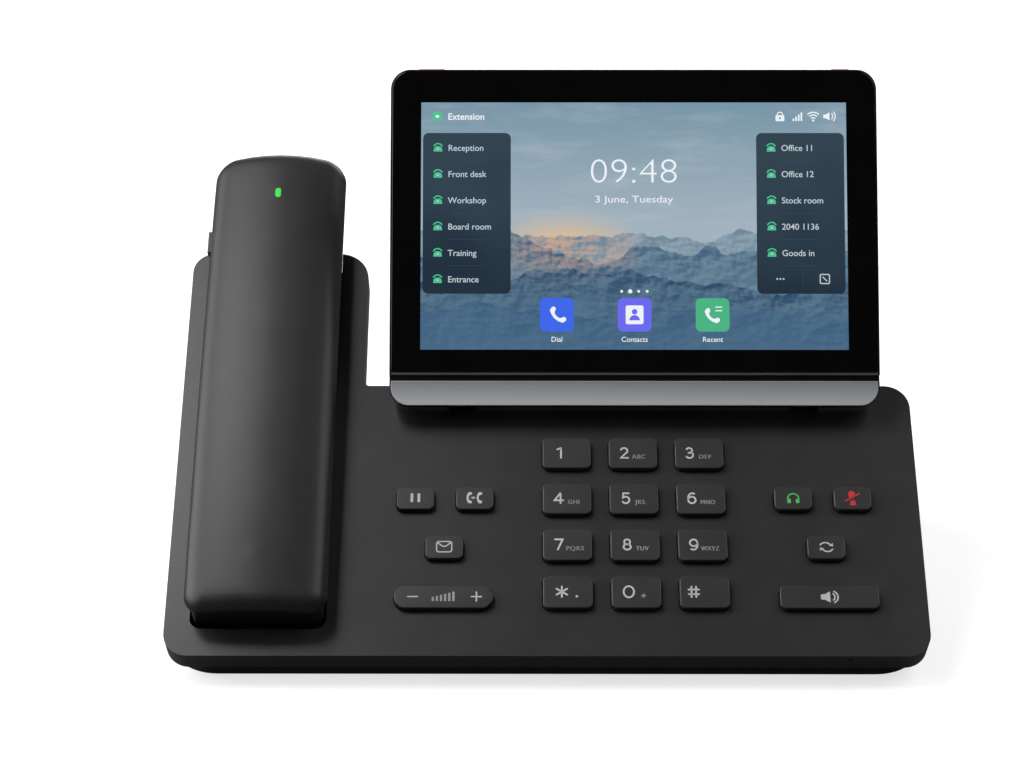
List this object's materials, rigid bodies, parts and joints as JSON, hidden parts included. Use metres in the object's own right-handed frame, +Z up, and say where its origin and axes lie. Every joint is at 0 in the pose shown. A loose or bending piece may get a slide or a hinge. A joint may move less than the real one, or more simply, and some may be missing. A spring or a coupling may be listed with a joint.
{
  "type": "desk ip phone",
  "caption": "Desk phone with a sloped key field, a cordless handset in a cradle and a tilting touch screen.",
  "frame": {"origin": "on the desk, at the middle of the phone's bounding box", "axes": "+X to the right as the user sees it, +Y to the back, +Z up"},
  "size_m": [0.2636, 0.1677, 0.1758],
  "materials": {
    "base_cover": "fine moulded texture, satin",
    "plinth": "fine moulded texture",
    "key_cap": "smooth satin",
    "handset_back": "fine moulded texture, satin",
    "handset_inner": "fine moulded texture",
    "screen_body": "satin",
    "trim_silver": "satin metallic paint",
    "cover_glass": "polished, black printed border",
    "display": "lit picture",
    "indicator_red": "translucent red",
    "led_green": "lit green lens",
    "foot_rubber": "matt",
    "silicone": "matt translucent",
    "circuit_board": "solder mask",
    "socket_metal": "tin-plated shell",
    "socket_black": "moulded",
    "speaker_black": "moulded",
    "hinge_steel": "black coated steel",
    "plated_steel": "zinc plated",
    "contact_gold": "gold plated",
    "battery_wrap": "shrink sleeve"
  },
  "bodies": {
    "base": {"base_top_cover": "base_cover", "base_bottom_cover": "plinth", "speaker_grille": "base_cover", "loudspeaker": "speaker_black", "keypad_membrane": "silicone", "keypad_board": "circuit_board", "main_board": "circuit_board", "lan_jack": "socket_metal", "pc_jack": "socket_metal", "handset_jack": "socket_black", "headset_jack": "socket_black", "usb_port": "socket_metal", "power_jack": "socket_black", "base_feet": "foot_rubber", "socket_plate": "plinth", "base_screws": "plated_steel", "hinge_bracket_left": "hinge_steel", "hinge_bracket_right": "hinge_steel", "cradle_contacts": "contact_gold"},
    "key_1_button": {"key_1": "key_cap"},
    "key_2_button": {"key_2": "key_cap"},
    "key_3_button": {"key_3": "key_cap"},
    "key_4_button": {"key_4": "key_cap"},
    "key_5_button": {"key_5": "key_cap"},
    "key_6_button": {"key_6": "key_cap"},
    "key_7_button": {"key_7": "key_cap"},
    "key_8_button": {"key_8": "key_cap"},
    "key_9_button": {"key_9": "key_cap"},
    "key_star_button": {"key_star": "key_cap"},
    "key_0_button": {"key_0": "key_cap"},
    "key_hash_button": {"key_hash": "key_cap"},
    "key_hold_button": {"key_hold": "key_cap"},
    "key_transfer_button": {"key_transfer": "key_cap"},
    "key_message_button": {"key_message": "key_cap"},
    "key_headset_button": {"key_headset": "key_cap"},
    "key_mute_button": {"key_mute": "key_cap"},
    "key_redial_button": {"key_redial": "key_cap"},
    "key_speaker_button": {"key_speaker": "key_cap"},
    "volume_rocker_button": {"volume_rocker": "key_cap"},
    "screen": {"screen_glass": "cover_glass", "display_panel": "display", "screen_frame": "screen_body", "screen_back_cover": "screen_body", "chin_trim": "trim_silver", "indicator_left": "indicator_red", "indicator_right": "indicator_red", "camera_port_cover": "screen_body", "screen_board": "circuit_board", "hinge_pin_left": "plated_steel", "hinge_pin_right": "plated_steel"},
    "handset": {"handset_back_shell": "handset_back", "handset_inner_shell": "handset_inner", "handset_led": "led_green", "handset_receiver": "speaker_black", "handset_battery": "battery_wrap", "handset_board": "circuit_board", "handset_contacts": "contact_gold"},
    "handset_side_button": {"handset_side_key": "key_cap"}
  },
  "joints": [
    {"name": "key_1_press", "type": "slide", "parent": "base", "child": "key_1_button", "axis": [0, 0.5446, -0.8387], "range_m": [0, 0.001], "stiffness_N_per_m": 500, "springref_m": -0.0004},
    {"name": "key_2_press", "type": "slide", "parent": "base", "child": "key_2_button", "axis": [0, 0.5446, -0.8387], "range_m": [0, 0.001], "stiffness_N_per_m": 500, "springref_m": -0.0004},
    {"name": "key_3_press", "type": "slide", "parent": "base", "child": "key_3_button", "axis": [0, 0.5446, -0.8387], "range_m": [0, 0.001], "stiffness_N_per_m": 500, "springref_m": -0.0004},
    {"name": "key_4_press", "type": "slide", "parent": "base", "child": "key_4_button", "axis": [0, 0.5446, -0.8387], "range_m": [0, 0.001], "stiffness_N_per_m": 500, "springref_m": -0.0004},
    {"name": "key_5_press", "type": "slide", "parent": "base", "child": "key_5_button", "axis": [0, 0.5446, -0.8387], "range_m": [0, 0.001], "stiffness_N_per_m": 500, "springref_m": -0.0004},
    {"name": "key_6_press", "type": "slide", "parent": "base", "child": "key_6_button", "axis": [0, 0.5446, -0.8387], "range_m": [0, 0.001], "stiffness_N_per_m": 500, "springref_m": -0.0004},
    {"name": "key_7_press", "type": "slide", "parent": "base", "child": "key_7_button", "axis": [0, 0.5446, -0.8387], "range_m": [0, 0.001], "stiffness_N_per_m": 500, "springref_m": -0.0004},
    {"name": "key_8_press", "type": "slide", "parent": "base", "child": "key_8_button", "axis": [0, 0.5446, -0.8387], "range_m": [0, 0.001], "stiffness_N_per_m": 500, "springref_m": -0.0004},
    {"name": "key_9_press", "type": "slide", "parent": "base", "child": "key_9_button", "axis": [0, 0.5446, -0.8387], "range_m": [0, 0.001], "stiffness_N_per_m": 500, "springref_m": -0.0004},
    {"name": "key_star_press", "type": "slide", "parent": "base", "child": "key_star_button", "axis": [0, 0.5446, -0.8387], "range_m": [0, 0.001], "stiffness_N_per_m": 500, "springref_m": -0.0004},
    {"name": "key_0_press", "type": "slide", "parent": "base", "child": "key_0_button", "axis": [0, 0.5446, -0.8387], "range_m": [0, 0.001], "stiffness_N_per_m": 500, "springref_m": -0.0004},
    {"name": "key_hash_press", "type": "slide", "parent": "base", "child": "key_hash_button", "axis": [0, 0.5446, -0.8387], "range_m": [0, 0.001], "stiffness_N_per_m": 500, "springref_m": -0.0004},
    {"name": "key_hold_press", "type": "slide", "parent": "base", "child": "key_hold_button", "axis": [0, 0.5446, -0.8387], "range_m": [0, 0.001], "stiffness_N_per_m": 500, "springref_m": -0.0004},
    {"name": "key_transfer_press", "type": "slide", "parent": "base", "child": "key_transfer_button", "axis": [0, 0.5446, -0.8387], "range_m": [0, 0.001], "stiffness_N_per_m": 500, "springref_m": -0.0004},
    {"name": "key_message_press", "type": "slide", "parent": "base", "child": "key_message_button", "axis": [0, 0.5446, -0.8387], "range_m": [0, 0.001], "stiffness_N_per_m": 500, "springref_m": -0.0004},
    {"name": "key_headset_press", "type": "slide", "parent": "base", "child": "key_headset_button", "axis": [0, 0.5446, -0.8387], "range_m": [0, 0.001], "stiffness_N_per_m": 500, "springref_m": -0.0004},
    {"name": "key_mute_press", "type": "slide", "parent": "base", "child": "key_mute_button", "axis": [0, 0.5446, -0.8387], "range_m": [0, 0.001], "stiffness_N_per_m": 500, "springref_m": -0.0004},
    {"name": "key_redial_press", "type": "slide", "parent": "base", "child": "key_redial_button", "axis": [0, 0.5446, -0.8387], "range_m": [0, 0.001], "stiffness_N_per_m": 500, "springref_m": -0.0004},
    {"name": "key_speaker_press", "type": "slide", "parent": "base", "child": "key_speaker_button", "axis": [0, 0.5446, -0.8387], "range_m": [0, 0.001], "stiffness_N_per_m": 500, "springref_m": -0.0004},
    {"name": "volume_tilt", "type": "hinge", "parent": "base", "child": "volume_rocker_button", "pos_m": [-0.0357, -0.06394, 0.02196], "axis": [0, 0.8387, 0.5446], "range_deg": [-3, 3], "stiffness_Nm_per_rad": 0.25},
    {"name": "screen_tilt", "type": "hinge", "parent": "base", "child": "screen", "pos_m": [0.03173, -0.00372, 0.07348], "axis": [1, 0, 0], "range_deg": [-25.2, 19.8]},
    {"name": "handset_lift", "type": "slide", "parent": "base", "child": "handset", "axis": [0, -0.5446, 0.8387], "range_m": [0, 0.05]},
    {"name": "side_key_press", "type": "slide", "parent": "handset", "child": "handset_side_button", "axis": [1, 0, 0], "range_m": [0, 0.0006], "stiffness_N_per_m": 700, "springref_m": -0.0003}
  ]
}
